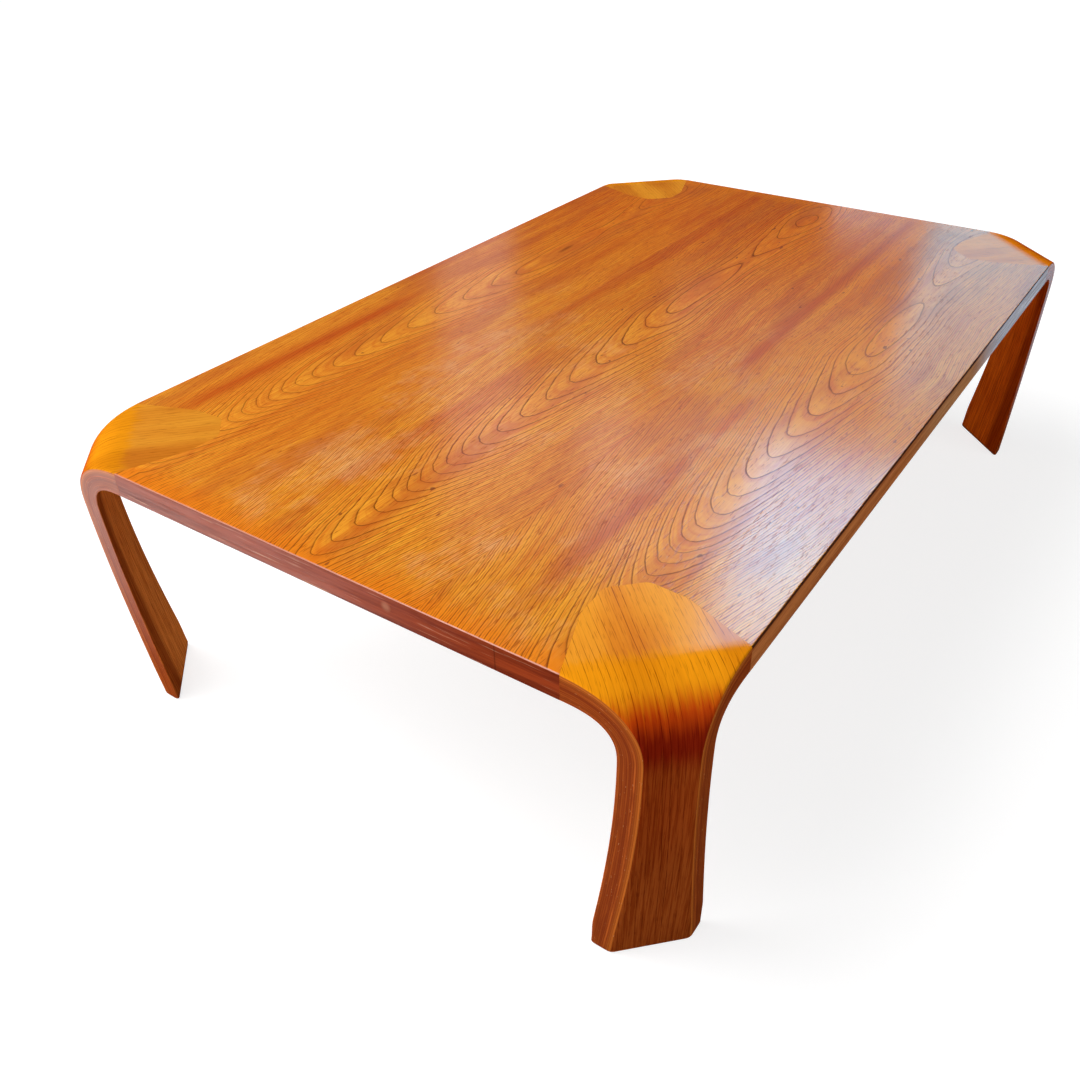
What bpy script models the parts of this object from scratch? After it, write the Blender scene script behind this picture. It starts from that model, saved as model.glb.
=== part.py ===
# Low table: a veneered plywood top on four bent laminated legs, one across each corner.
# Metres, +Z up. The origin is on the floor under the middle of the top. X runs along the table's length.
# Front is -Y and left is -X.
import math

import bmesh
import bpy
import numpy as np
from mathutils import Matrix, Vector

# The whole table
LENGTH = 1.210
WIDTH = 0.757
HEIGHT = 0.332
TOP_THICKNESS = 0.028
SIDE_DRAFT = 0.0073  # how far the legs' side cuts draw in from the top's sides at the floor

# The leg's profile, in the upright plane through a corner of the plan and along its diagonal
LEG_THICKNESS = 0.0185
BEND_START = 0.0898  # from the plan's corner to where the top begins to bend
BEND_LENGTH = 0.1117  # along the outer face
BEND_TURN = math.radians(91.6)  # slope of the outer face where the bend ends
FOOT_TURN = math.radians(97.6)  # slope of the outer face at the floor, past upright
BEND_STEPS = 20
LEG_STEPS = 10
WALK_STEP = 0.0005

# The flange by which each leg is let into the top: half of a blunt tongue, as (along, across) the diagonal
FLANGE_REACH = 0.175
FLANGE_END_HALF = 0.020
FLANGE_SHOULDER = (0.146, 0.046)
FLANGE_TAPER = 0.455  # how fast the sides close in between the table's edge and the shoulder
FLANGE_ROUND = 0.012
ROUND_STEPS = 4

# The layers
VENEER = 0.0010
LIPPING = 0.008
LEAF_COUNT = 3
FOOT_EASE = 0.0010  # the leg veneers stop this far above the floor
GAP = 0.0003  # glue line between pieces

# The loose tongues between the flanges and the top's core
SPLINE_THICKNESS = 0.006
SPLINE_WIDTH = 0.020
SPLINE_SIDE_LENGTH = 0.040
SPLINE_END_LENGTH = 0.024
SPLINE_SIDE_AT = 0.120  # along the diagonal

CLEAR = 0.02  # how far the cutters run past what they cut

HALF_LENGTH = LENGTH / 2
HALF_WIDTH = WIDTH / 2
UNDERSIDE = HEIGHT - TOP_THICKNESS
SKIN = VENEER + GAP
CORE_LOW = UNDERSIDE + SKIN
CORE_HIGH = HEIGHT - SKIN

CORNERS = {
    "front_left": (-1, -1),
    "front_right": (1, -1),
    "back_right": (1, 1),
    "back_left": (-1, 1),
}


def clear_scene():
    for item in list(bpy.data.objects):
        bpy.data.objects.remove(item, do_unlink=True)


def make_collection(name):
    collection = bpy.data.collections.new(name)
    bpy.context.scene.collection.children.link(collection)
    return collection


def make_material(name, colour, roughness):
    material = bpy.data.materials.new(name)
    material.use_nodes = True
    shader = material.node_tree.nodes["Principled BSDF"]
    shader.inputs["Base Color"].default_value = (*colour, 1.0)
    shader.inputs["Roughness"].default_value = roughness
    shader.inputs["Metallic"].default_value = 0.0
    return material


def add_piece(name, mesh, matrix, material):
    piece = bpy.data.objects.new(name, mesh)
    piece.matrix_world = matrix
    piece.data.materials.clear()
    piece.data.materials.append(material)
    parts.objects.link(piece)
    return piece


def add_cutter(name, mesh, matrix):
    cutter = bpy.data.objects.new(name, mesh)
    cutter.matrix_world = matrix
    cutter.hide_render = True
    cutter.display_type = "WIRE"
    cutters.objects.link(cutter)
    return cutter


def cut(piece, cutter, operation):
    step = piece.modifiers.new(cutter.name, "BOOLEAN")
    step.operation = operation
    step.solver = "EXACT"
    step.object = cutter


# A closed outline in the XY plane, made as deep as asked for, half of it on each side of the plane
def outline_mesh(name, points, depth):
    curve = bpy.data.curves.new(name, "CURVE")
    curve.dimensions = "2D"
    curve.fill_mode = "BOTH"
    curve.extrude = depth / 2
    spline = curve.splines.new("POLY")
    spline.points.add(len(points) - 1)
    for point, (x, y) in zip(spline.points, points):
        point.co = (x, y, 0.0, 1.0)
    spline.use_cyclic_u = True
    drawn = bpy.data.objects.new(name, curve)
    bpy.context.scene.collection.objects.link(drawn)
    graph = bpy.context.evaluated_depsgraph_get()
    mesh = bpy.data.meshes.new_from_object(drawn.evaluated_get(graph))
    bpy.data.objects.remove(drawn, do_unlink=True)
    bpy.data.curves.remove(curve)
    built = bmesh.new()
    built.from_mesh(mesh)
    bmesh.ops.remove_doubles(built, verts=built.verts, dist=0.00002)
    bmesh.ops.recalc_face_normals(built, faces=built.faces)
    built.to_mesh(mesh)
    built.free()
    return mesh


def box_mesh(name, low, high):
    built = bmesh.new()
    bmesh.ops.create_cube(built, size=1.0)
    low = Vector(low)
    high = Vector(high)
    for vert in built.verts:
        vert.co = low + (vert.co + Vector((0.5, 0.5, 0.5))) * (high - low)
    mesh = bpy.data.meshes.new(name)
    built.to_mesh(mesh)
    built.free()
    return mesh


# The space the table fills: upright sides down to the underside, then drawn in evenly to the floor
def block_mesh(name, floor):
    built = bmesh.new()
    bmesh.ops.create_cube(built, size=1.0)
    for vert in built.verts:
        vert.co.x *= LENGTH
        vert.co.y *= WIDTH
        vert.co.z = HEIGHT + CLEAR if vert.co.z > 0 else floor
    level = (0.0, 0.0, UNDERSIDE)
    everything = built.verts[:] + built.edges[:] + built.faces[:]
    bmesh.ops.bisect_plane(built, geom=everything, plane_co=level, plane_no=(0.0, 0.0, 1.0))
    draw = SIDE_DRAFT * (UNDERSIDE - floor) / UNDERSIDE
    for vert in built.verts:
        if vert.co.z < floor + GAP:
            vert.co.x -= math.copysign(draw, vert.co.x)
            vert.co.y -= math.copysign(draw, vert.co.y)
    mesh = bpy.data.meshes.new(name)
    built.to_mesh(mesh)
    built.free()
    return mesh


# Eases from 0 to 1 with no slope at either end
def ease(share):
    share = np.clip(share, 0.0, 1.0)
    return share * share * (3.0 - 2.0 * share)


# The outer face from the flange's end to below the floor: distances along it, points (inward, up) and the
# way into the wood at each. The slope turns gently into and out of the bend, then on a little to the foot.
def walk_profile():
    start = -(FLANGE_REACH + CLEAR - BEND_START)
    total = BEND_LENGTH + HEIGHT
    along = np.arange(start, total, WALK_STEP)
    leg_share = np.clip((along - BEND_LENGTH) / (HEIGHT - BEND_LENGTH / 2), 0.0, 1.0)
    turn = BEND_TURN * ease(along / BEND_LENGTH)
    turn = turn + (FOOT_TURN - BEND_TURN) * leg_share * (2.0 - leg_share)
    inward = BEND_START - start - np.cumsum(np.cos(turn)) * WALK_STEP
    up = HEIGHT - np.cumsum(np.sin(turn)) * WALK_STEP
    return along, inward, up, turn


# One layer of the leg as a closed outline, between two depths into the wood. A depth is a function of the
# leg's thickness, which falls from the top's to the leg's own through the bend.
def layer_outline(outer_depth, inner_depth):
    along, inward, up, turn = walk_profile()
    bend_stops = np.linspace(0.0, BEND_LENGTH, BEND_STEPS + 1)
    leg_stops = np.linspace(BEND_LENGTH, along[-1], LEG_STEPS + 1)[1:]
    stops = np.concatenate([along[:1], bend_stops, leg_stops])
    thickness = TOP_THICKNESS + (LEG_THICKNESS - TOP_THICKNESS) * ease(stops / BEND_LENGTH)
    x = np.interp(stops, along, inward)
    y = np.interp(stops, along, up)
    slope = np.interp(stops, along, turn)
    sides = []
    for depth in (outer_depth(thickness), inner_depth(thickness)):
        sides.append(np.stack([x + depth * np.sin(slope), y - depth * np.cos(slope)], axis=1))
    return np.concatenate([sides[0], sides[1][::-1]])


# Moves every side of a convex outline, listed anticlockwise, outwards by the same distance
def grow(points, distance):
    points = np.asarray(points, dtype=float)
    before = points - np.roll(points, 1, axis=0)
    after = np.roll(points, -1, axis=0) - points
    before = before / np.linalg.norm(before, axis=1, keepdims=True)
    after = after / np.linalg.norm(after, axis=1, keepdims=True)
    out_before = np.stack([before[:, 1], -before[:, 0]], axis=1)
    out_after = np.stack([after[:, 1], -after[:, 0]], axis=1)
    middle = out_before + out_after
    reach = distance * 2.0 / np.sum(middle * middle, axis=1, keepdims=True)
    return points + middle * reach


# Rounds one corner of an outline with an arc that starts the same distance before and after it
def round_corner(before, corner, after, radius):
    before = (Vector(before) - Vector(corner)).normalized()
    after = (Vector(after) - Vector(corner)).normalized()
    half_angle = before.angle(after) / 2
    back = radius / math.tan(half_angle)
    centre = Vector(corner) + (before + after).normalized() * radius / math.sin(half_angle)
    first = Vector(corner) + before * back - centre
    last = Vector(corner) + after * back - centre
    points = []
    for step in range(ROUND_STEPS + 1):
        share = step / ROUND_STEPS
        arm = (first * (1.0 - share) + last * share).normalized() * radius
        points.append(tuple(centre + arm))
    return points


# The plan of a leg and its flange, as (inward, across) the diagonal, running out past the table's sides
def flange_outline(extra):
    shoulder_along, shoulder_half = FLANGE_SHOULDER
    wide_along = BEND_START / 3
    wide_half = shoulder_half + (shoulder_along - wide_along) * FLANGE_TAPER
    half = [
        (-CLEAR, -wide_half),
        (wide_along, -wide_half),
        (shoulder_along, -shoulder_half),
        (FLANGE_REACH, -FLANGE_END_HALF),
    ]
    points = half + [(along, -across) for along, across in reversed(half)]
    points = grow(points, extra)
    rounded = []
    count = len(points)
    for index, point in enumerate(points):
        if point[0] > shoulder_along - FLANGE_ROUND:
            before = points[index - 1]
            after = points[(index + 1) % count]
            rounded.extend(round_corner(before, point, after, FLANGE_ROUND))
        else:
            rounded.append(tuple(point))
    return rounded


# Turns (inward, across, up) at a corner of the plan into the table's frame
def corner_frame(signs):
    inward = Vector((-signs[0], -signs[1], 0.0)).normalized()
    up = Vector((0.0, 0.0, 1.0))
    across = up.cross(inward)
    turned = Matrix((inward, across, up)).transposed().to_4x4()
    return Matrix.Translation((signs[0] * HALF_LENGTH, signs[1] * HALF_WIDTH, 0.0)) @ turned


# Stands an outline drawn as (inward, up) on edge, so that its depth runs across the diagonal
STAND_UP = Matrix.Rotation(math.radians(90.0), 4, "X")


def make_cutters():
    made = {
        "core_block": add_cutter("core_block", block_mesh("core_block", 0.0), Matrix()),
        "veneer_block": add_cutter("veneer_block", block_mesh("veneer_block", FOOT_EASE), Matrix()),
    }
    for kind, extra in (("flange", 0.0), ("pocket", GAP)):
        depth = HEIGHT + 2 * CLEAR
        mesh = outline_mesh(kind, flange_outline(extra), depth)
        for corner, signs in CORNERS.items():
            name = f"{kind}_{corner}"
            lift = Matrix.Translation((0.0, 0.0, HEIGHT / 2))
            made[name] = add_cutter(name, mesh, corner_frame(signs) @ lift)
    return made


# Each loose tongue's length and place at a corner: one across the flange's end and one on each side of it
def spline_places():
    shoulder_along, shoulder_half = FLANGE_SHOULDER
    side_across = shoulder_half + (shoulder_along - SPLINE_SIDE_AT) * FLANGE_TAPER
    side_angle = math.atan(FLANGE_TAPER)
    level = HEIGHT - TOP_THICKNESS / 2
    return {
        "end": (SPLINE_END_LENGTH, (FLANGE_REACH, 0.0, level), math.radians(90.0)),
        "right": (SPLINE_SIDE_LENGTH, (SPLINE_SIDE_AT, -side_across, level), side_angle),
        "left": (SPLINE_SIDE_LENGTH, (SPLINE_SIDE_AT, side_across, level), -side_angle),
    }


def strip_mesh(name, length, extra):
    half = Vector((length / 2 + extra, SPLINE_WIDTH / 2 + extra, SPLINE_THICKNESS / 2 + extra))
    return box_mesh(name, -half, half)


def make_splines(corner, signs, material):
    slots = []
    for place, (length, centre, angle) in spline_places().items():
        matrix = corner_frame(signs) @ Matrix.Translation(centre) @ Matrix.Rotation(angle, 4, "Z")
        name = f"spline_{corner}_{place}"
        add_piece(name, strip_mesh(name, length, 0.0), matrix, material)
        slots.append(add_cutter(f"slot_{corner}_{place}", strip_mesh(f"slot_{place}", length, GAP), matrix))
    return slots


def make_leg(corner, signs, made):
    layers = {
        "leg_core": (lambda t: SKIN + 0.0 * t, lambda t: t - SKIN, "core_block", leg_wood),
        "leg_face_veneer": (lambda t: 0.0 * t, lambda t: VENEER + 0.0 * t, "veneer_block", face_wood),
        "leg_inner_veneer": (lambda t: t - VENEER, lambda t: t, "veneer_block", inner_wood),
    }
    slots = make_splines(corner, signs, tongue_wood)
    matrix = corner_frame(signs) @ STAND_UP
    for layer, (outer_depth, inner_depth, block, material) in layers.items():
        name = f"{layer}_{corner}"
        mesh = outline_mesh(name, layer_outline(outer_depth, inner_depth), HEIGHT)
        piece = add_piece(name, mesh, matrix, material)
        cut(piece, made[block], "INTERSECT")
        cut(piece, made[f"flange_{corner}"], "INTERSECT")
        if layer == "leg_core":
            for slot in slots:
                cut(piece, slot, "DIFFERENCE")
    return slots


def make_top_core(made, slots):
    reach_x = HALF_LENGTH - LIPPING - GAP
    reach_y = HALF_WIDTH - LIPPING - GAP
    mesh = box_mesh("top_core", (-reach_x, -reach_y, CORE_LOW), (reach_x, reach_y, CORE_HIGH))
    core = add_piece("top_core", mesh, Matrix(), core_wood)
    for corner in CORNERS:
        cut(core, made[f"pocket_{corner}"], "DIFFERENCE")
    for slot in slots:
        cut(core, slot, "DIFFERENCE")


# A strip of hardwood along each side of the core, cut at its ends by the two legs that it meets
def make_lippings(made):
    inner_x = HALF_LENGTH - LIPPING
    inner_y = HALF_WIDTH - LIPPING
    strips = {
        "front": ((-HALF_LENGTH, -HALF_WIDTH), (HALF_LENGTH, -inner_y)),
        "back": ((-HALF_LENGTH, inner_y), (HALF_LENGTH, HALF_WIDTH)),
        "left": ((-HALF_LENGTH, -HALF_WIDTH), (-inner_x, HALF_WIDTH)),
        "right": ((inner_x, -HALF_WIDTH), (HALF_LENGTH, HALF_WIDTH)),
    }
    for side, (low, high) in strips.items():
        name = f"lipping_{side}"
        mesh = box_mesh(name, (*low, CORE_LOW), (*high, CORE_HIGH))
        strip = add_piece(name, mesh, Matrix(), lipping_wood)
        for corner in CORNERS:
            if side in corner.split("_"):
                cut(strip, made[f"pocket_{corner}"], "DIFFERENCE")


# Leaves of veneer laid side by side, their joints running along the table, let in round the legs' flanges
def make_leaves(layer, low, material, made):
    leaf_width = WIDTH / LEAF_COUNT
    for index, place in enumerate(("front", "middle", "back")):
        near = -HALF_WIDTH + index * leaf_width + (GAP / 2 if index > 0 else 0.0)
        far = -HALF_WIDTH + (index + 1) * leaf_width - (GAP / 2 if index < LEAF_COUNT - 1 else 0.0)
        name = f"{layer}_{place}"
        mesh = box_mesh(name, (-HALF_LENGTH, near, low), (HALF_LENGTH, far, low + VENEER))
        leaf = add_piece(name, mesh, Matrix(), material)
        for corner in CORNERS:
            if place in corner.split("_"):
                cut(leaf, made[f"pocket_{corner}"], "DIFFERENCE")


clear_scene()
parts = make_collection("low_table")
cutters = make_collection("cutters")

face_wood = make_material("face_veneer", (0.56, 0.20, 0.045), 0.32)
leg_wood = make_material("leg_laminate", (0.25, 0.070, 0.028), 0.40)
inner_wood = make_material("inner_veneer", (0.20, 0.055, 0.022), 0.45)
lipping_wood = make_material("lipping", (0.24, 0.070, 0.030), 0.38)
core_wood = make_material("core_plywood", (0.48, 0.33, 0.19), 0.75)
backing_wood = make_material("backing_veneer", (0.33, 0.13, 0.050), 0.50)
tongue_wood = make_material("tongue", (0.52, 0.36, 0.20), 0.70)

shared_cutters = make_cutters()
all_slots = []
for corner_name, corner_signs in CORNERS.items():
    all_slots.extend(make_leg(corner_name, corner_signs, shared_cutters))
make_top_core(shared_cutters, all_slots)
make_lippings(shared_cutters)
make_leaves("top_veneer", HEIGHT - VENEER, face_wood, shared_cutters)
make_leaves("underside_veneer", UNDERSIDE, backing_wood, shared_cutters)
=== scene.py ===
# Looks of the low table: crown-cut veneer on the top, bent plies in the legs, soft window light.
# Metres, +Z up. Front is -Y and left is -X, and the legs stand across the four corners.
import math

import bmesh
import bpy
import numpy as np
from mathutils import Matrix, Vector


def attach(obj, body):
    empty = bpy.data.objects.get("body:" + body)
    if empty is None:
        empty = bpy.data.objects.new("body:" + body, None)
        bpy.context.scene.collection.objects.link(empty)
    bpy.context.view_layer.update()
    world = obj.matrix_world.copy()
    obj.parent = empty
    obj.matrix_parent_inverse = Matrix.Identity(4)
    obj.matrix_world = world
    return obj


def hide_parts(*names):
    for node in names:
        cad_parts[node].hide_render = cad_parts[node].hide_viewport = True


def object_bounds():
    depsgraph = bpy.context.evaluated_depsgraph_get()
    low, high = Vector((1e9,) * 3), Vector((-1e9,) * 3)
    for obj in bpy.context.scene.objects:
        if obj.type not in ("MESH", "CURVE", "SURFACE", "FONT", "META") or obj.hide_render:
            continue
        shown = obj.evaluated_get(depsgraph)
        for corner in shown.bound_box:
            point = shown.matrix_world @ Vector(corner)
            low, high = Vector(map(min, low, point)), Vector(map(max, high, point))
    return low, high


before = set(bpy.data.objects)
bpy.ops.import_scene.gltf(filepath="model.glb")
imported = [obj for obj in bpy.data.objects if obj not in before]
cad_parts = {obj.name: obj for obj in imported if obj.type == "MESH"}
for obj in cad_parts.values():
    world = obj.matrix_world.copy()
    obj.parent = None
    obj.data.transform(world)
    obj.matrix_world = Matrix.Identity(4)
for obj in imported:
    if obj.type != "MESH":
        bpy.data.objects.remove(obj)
cadLow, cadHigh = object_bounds()
print("frame loaded:", len(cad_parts), "nodes")

table = {
    "halfLength": (cadHigh.x - cadLow.x) / 2,
    "halfWidth": (cadHigh.y - cadLow.y) / 2,
    "height": cadHigh.z,
    "topThickness": 0.028,
    "veneer": 0.001,
    "glueLine": 0.00004,  # hairline left between two pieces
    "topArris": 0.0020,  # radius on the upper edges
    "underArris": 0.0015,  # radius on the lower edges
    "flatRing": 0.0006,  # a narrow level ring inside the edge keeps the shading of the face level
}
underside = table["height"] - table["topThickness"]

# sign of x and of y at each corner, anticlockwise from the nearest one
corners = {
    "front_left": (-1, -1),
    "front_right": (1, -1),
    "back_right": (1, 1),
    "back_left": (-1, 1),
}


# Puts points and faces into a mesh, turns the faces outwards and hangs the piece on the table's body.
# A place is a vector for each point that the material reads, such as where it lies along the grain.
def addPiece(name, points, faces, material, node, place=None):
    mesh = bpy.data.meshes.new(name)
    mesh.from_pydata(points, [], faces)
    if place is not None:
        grain = mesh.attributes.new("grain", "FLOAT_VECTOR", "POINT")
        grain.data.foreach_set("vector", np.ascontiguousarray(place, dtype=np.float32).ravel())
    shaped = bmesh.new()
    shaped.from_mesh(mesh)
    bmesh.ops.remove_doubles(shaped, verts=shaped.verts, dist=1e-7)
    bmesh.ops.recalc_face_normals(shaped, faces=shaped.faces)
    shaped.to_mesh(mesh)
    shaped.free()
    mesh.set_sharp_from_angle(angle=math.radians(32.0))
    sides = np.zeros(len(mesh.polygons), dtype=np.int32)
    mesh.polygons.foreach_get("loop_total", sides)
    mesh.polygons.foreach_set("use_smooth", sides < 5)  # the faces over a loft's two ends stay flat
    mesh.materials.append(material)
    piece = bpy.data.objects.new(name, mesh)
    bpy.context.scene.collection.objects.link(piece)
    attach(piece, "root")
    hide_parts(node)
    return piece


# Quads between neighbouring rings of a closed loft, with one face over each end
def loftFaces(rings, ringPoints):
    at = np.arange(rings * ringPoints).reshape(rings, ringPoints)
    after = np.roll(at, -1, axis=1)
    quads = np.stack([at[:-1], after[:-1], after[1:], at[1:]], axis=-1).reshape(-1, 4)
    return quads.tolist() + [at[0].tolist(), at[-1].tolist()]


# Rises from 0 to 1 with no slope at either end
def easeShare(share):
    share = np.clip(share, 0.0, 1.0)
    return share * share * (3.0 - 2.0 * share)


# How far a quarter-round of this radius stands back from the face, at a depth below the edge
def arrisInset(depth, radius):
    rise = np.clip(radius - depth, 0.0, radius)
    return radius - np.sqrt(radius * radius - rise * rise)


# Node shorthand

def feed(tree, socket, value):
    if isinstance(value, bpy.types.NodeSocket):
        tree.links.new(value, socket)
    else:
        socket.default_value = value


def calc(tree, operation, *values):
    node = tree.nodes.new("ShaderNodeMath")
    node.operation = operation
    for socket, value in zip(node.inputs, values):
        feed(tree, socket, value)
    return node.outputs[0]


def times(tree, first, second):
    return calc(tree, "MULTIPLY", first, second)


# A smooth step from 0 to 1 as the value goes from low to high, or from 1 to 0 where low is the larger
def fade(tree, value, low, high, top=1.0):
    node = tree.nodes.new("ShaderNodeMapRange")
    node.interpolation_type = "SMOOTHSTEP"
    feed(tree, node.inputs["Value"], value)
    node.inputs["From Min"].default_value = low
    node.inputs["From Max"].default_value = high
    node.inputs["To Max"].default_value = top
    return node.outputs["Result"]


# A straight change from one range to another
def span(tree, value, low, high, toLow, toHigh):
    node = tree.nodes.new("ShaderNodeMapRange")
    feed(tree, node.inputs["Value"], value)
    for socket, number in zip(node.inputs[1:5], (low, high, toLow, toHigh)):
        socket.default_value = number
    return node.outputs["Result"]


# Stretched noise: the scale is in waves per metre along each axis
def streaks(tree, vector, scale, detail=2.0, shift=0.0, roughness=0.5, output=0):
    mapped = tree.nodes.new("ShaderNodeMapping")
    mapped.inputs["Scale"].default_value = scale
    mapped.inputs["Location"].default_value = (shift, shift * 0.37, shift * 0.61)
    tree.links.new(vector, mapped.inputs["Vector"])
    noise = tree.nodes.new("ShaderNodeTexNoise")
    noise.inputs["Scale"].default_value = 1.0
    noise.inputs["Detail"].default_value = detail
    noise.inputs["Roughness"].default_value = roughness
    tree.links.new(mapped.outputs["Vector"], noise.inputs["Vector"])
    return noise.outputs[output]


# A number from 0 to 1 that belongs to a whole number, such as a ring's
def randomOf(tree, number):
    node = tree.nodes.new("ShaderNodeTexWhiteNoise")
    node.noise_dimensions = "1D"
    tree.links.new(number, node.inputs["W"])
    return node.outputs["Value"]


def tint(tree, share, under, over, blend="MIX"):
    node = tree.nodes.new("ShaderNodeMix")
    node.data_type = "RGBA"
    node.blend_type = blend
    feed(tree, node.inputs["Factor"], share)
    for socket, colour in zip((node.inputs[6], node.inputs[7]), (under, over)):
        feed(tree, socket, colour if isinstance(colour, bpy.types.NodeSocket) else (*colour, 1.0))
    return node.outputs[2]


def split(tree, vector):
    node = tree.nodes.new("ShaderNodeSeparateXYZ")
    tree.links.new(vector, node.inputs[0])
    return node.outputs[0], node.outputs[1], node.outputs[2]


def join(tree, x, y, z):
    node = tree.nodes.new("ShaderNodeCombineXYZ")
    for socket, value in zip(node.inputs, (x, y, z)):
        feed(tree, socket, value)
    return node.outputs[0]


def objectPlace(tree):
    return tree.nodes.new("ShaderNodeTexCoord").outputs["Object"]


# Where a leg's point lies: across the leg, along its outer face, and its share of the thickness
def grainPlace(tree):
    node = tree.nodes.new("ShaderNodeAttribute")
    node.attribute_name = "grain"
    return node.outputs["Vector"]


def startMaterial(name):
    material = bpy.data.materials.new(name)
    material.use_nodes = True
    tree = material.node_tree
    shader = tree.nodes["Principled BSDF"]
    return material, tree, shader


def startWood(name, shine):
    material, tree, shader = startMaterial(name)
    shader.inputs["Specular IOR Level"].default_value = shine
    return material, tree, shader


# Old lacquer over the wood
def lacquer(shader, coat, gloss):
    shader.inputs["Coat IOR"].default_value = coat
    shader.inputs["Coat Roughness"].default_value = gloss


def raiseGrain(tree, shader, height, strength, distance, coated=False):
    bump = tree.nodes.new("ShaderNodeBump")
    bump.inputs["Strength"].default_value = strength
    bump.inputs["Distance"].default_value = distance
    tree.links.new(height, bump.inputs["Height"])
    tree.links.new(bump.outputs["Normal"], shader.inputs["Normal"])
    if coated:
        tree.links.new(bump.outputs["Normal"], shader.inputs["Coat Normal"])


# Short dark pores along the grain: the peaks of a noise that is stretched along it
def pores(tree, vector, scale, shift, low=0.62, high=0.74):
    return fade(tree, streaks(tree, vector, scale, 1.0, shift), low, high)


# Crown-cut veneer of the top

crown = {
    # ring number along the leaf's middle line: falls towards the heart, as (place along X, rings)
    "rings": [(-0.62, 18.9), (-0.571, 17.0), (-0.515, 15.0), (-0.470, 13.0), (-0.429, 11.0), (-0.385, 9.0),
              (-0.324, 7.0), (-0.238, 5.0), (-0.130, 3.0), (-0.010, 1.0), (0.045, 0.0), (0.165, -0.85),
              (0.285, 0.05), (0.400, -1.0), (0.470, -2.0), (0.503, -2.3), (0.535, -2.0), (0.62, -0.3)],
    "ringLow": -4.0,
    "ringSpan": 24.0,
    "bluntLeft": 0.030,  # how blunt the arches are at the left end, and from the middle on
    "bluntRight": 0.055,
    "eye": (0.165, 0.024),  # place of the closed rings, and how much sharper they are
    "ringPitch": 0.0045,  # between rings out on the flanks
    "tipSlope": 24.0,  # rings per metre along the middle line
    "tipWidth": 0.0020,  # a line's soft width at its tip and on the flanks
    "flankWidth": 0.0010,
    "hairWidth": 0.0007,  # of the finer lines, two to a ring, on the flanks
    "gold": (0.800, 0.360, 0.028),
    "amber": (0.735, 0.288, 0.020),
    "near": (0.860, 0.400, 0.026),  # paler tone towards the left end, and a deeper one towards the right
    "far": (0.920, 0.285, 0.005),
    "russet": (0.450, 0.080, 0.008),
    "thread": (0.520, 0.055, 0.004),  # in the fibres
    "blotch": (0.460, 0.095, 0.014),
    "line": (0.085, 0.014, 0.003),
    "hair": (0.290, 0.036, 0.005),
    "pore": (0.250, 0.030, 0.005),
    # a pale worn tone, partly a painted haze of reflected window light
    "worn": (0.730, 0.395, 0.170),
    "wornHazeSeed": 4.1,
    "edge": (0.760, 0.190, 0.004),
    # the veneer's dark cut edge, deepened with painted shade where the top meets the lipping
    "cut": (0.040, 0.010, 0.005),
    "endHighlight": (0.520, 0.220, 0.150),  # a painted highlight on the same edge at the table's two ends
    "speck": (0.150, 0.032, 0.010),
    "coat": 1.45,
    "gloss": 0.125,
    "wornHazeTo": (0.20, 0.28),  # the worn patch, partly a painted haze of reflected window light, ends between these places across the table
    "edgeBand": (0.015, 0.022, 0.70),  # from inside the end to past it, and how strong
    "cutDepth": (0.0001, 0.0004),  # where the veneer's own edge shows below the face
    "endZone": (0.006, 0.003),  # and where that edge takes the painted highlight
    # russet streaks, as (distance from the middle line, half-width, from X, to X, strength)
    "streaks": [(0.068, 0.014, -0.56, -0.06, 0.85), (0.119, 0.012, -0.12, 0.70, 0.90),
                (-0.062, 0.011, -0.08, 0.30, 0.45), (-0.105, 0.012, 0.28, 0.70, 0.50)],
}

# each leaf's middle line, how far its figure slips along, how much deeper it was sliced, and how bold its
# lines and how red its fibres are towards the left and the right
leaves = {
    "front": {"axis": -0.268, "slip": -0.010, "slice": 0.10, "seed": 3.1,
              "bold": (0.95, 0.62), "red": (0.65, 1.0)},
    "middle": {"axis": -0.003, "slip": 0.000, "slice": 0.00, "seed": 11.7,
               "bold": (1.0, 1.0), "red": (1.0, 1.5)},
    "back": {"axis": 0.255, "slip": -0.026, "slice": -0.15, "seed": 23.9,
             "bold": (0.80, 0.75), "red": (1.0, 1.5)},
}


# Rings along the middle line, read from the list above by a curve node
def ringsAlong(tree, alongX):
    curve = tree.nodes.new("ShaderNodeFloatCurve")
    line = curve.mapping.curves[0]
    first, last = crown["rings"][0][0], crown["rings"][-1][0]
    levels = [((at - first) / (last - first), (ring - crown["ringLow"]) / crown["ringSpan"])
              for at, ring in crown["rings"]]
    line.points[0].location = levels[0]
    line.points[1].location = levels[-1]
    for level in levels[1:-1]:
        line.points.new(*level)
    curve.mapping.update()
    tree.links.new(span(tree, alongX, first, last, 0.0, 1.0), curve.inputs["Value"])
    return calc(tree, "MULTIPLY_ADD", curve.outputs[0], crown["ringSpan"], crown["ringLow"])


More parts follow.
